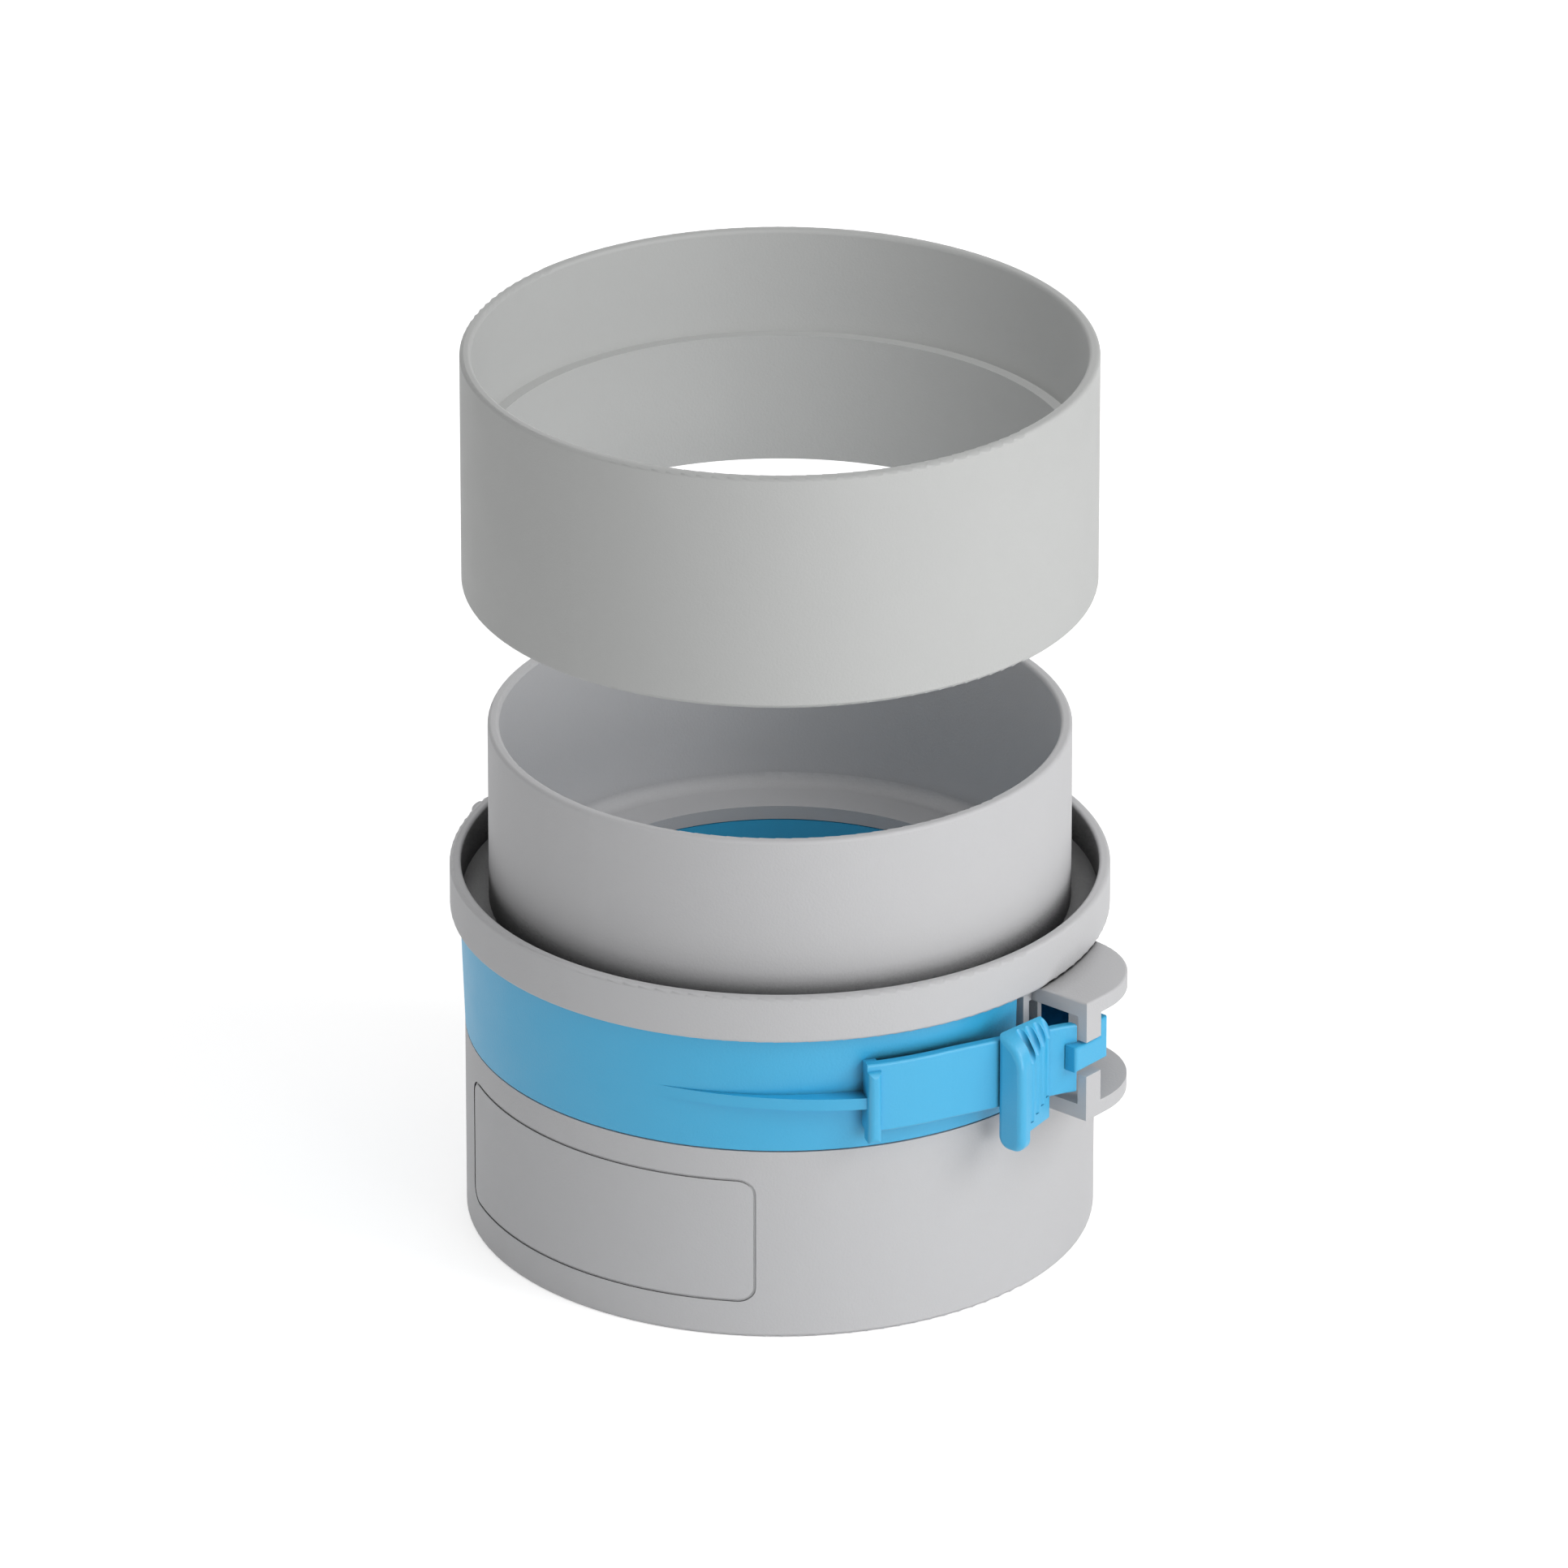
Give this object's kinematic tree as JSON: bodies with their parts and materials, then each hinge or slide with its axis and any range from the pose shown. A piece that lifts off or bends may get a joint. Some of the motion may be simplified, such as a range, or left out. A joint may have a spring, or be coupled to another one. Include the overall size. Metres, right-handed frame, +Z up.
{
  "type": "downpipe mosquito screen",
  "caption": "Grey pipe housing with a blue mesh tray that swings out on a side hinge and is held by a squeeze latch, an upper spigot in a trough, a lower socket and a loose adapter ring above.",
  "frame": {"origin": "on the pipe's axis, in the plane of the lower socket's rim", "axes": "+Z up along the pipe, the screen tray swings out towards -Y, its latch is at +X and its hinge at -X"},
  "size_m": [0.1404, 0.12, 0.169],
  "materials": {
    "grey_moulding": "fine satin moulding",
    "blue_moulding": "satin moulding",
    "woven_wire": "bright drawn wire",
    "grey_ring": "fine satin moulding"
  },
  "bodies": {
    "housing": {"housing": "grey_moulding"},
    "tray": {"screen_tray": "blue_moulding", "screen_mesh": "woven_wire"},
    "adapter": {"adapter_ring": "grey_ring"}
  },
  "joints": [
    {"name": "tray_swing", "type": "hinge", "parent": "housing", "child": "tray", "pos_m": [-0.0647, -0.0026, 0.048], "axis": [0, 0, -1], "range_deg": [0, 110]},
    {"name": "adapter_lift", "type": "slide", "parent": "housing", "child": "adapter", "axis": [0, 0, 1], "range_m": [-0.0622, 0]}
  ]
}
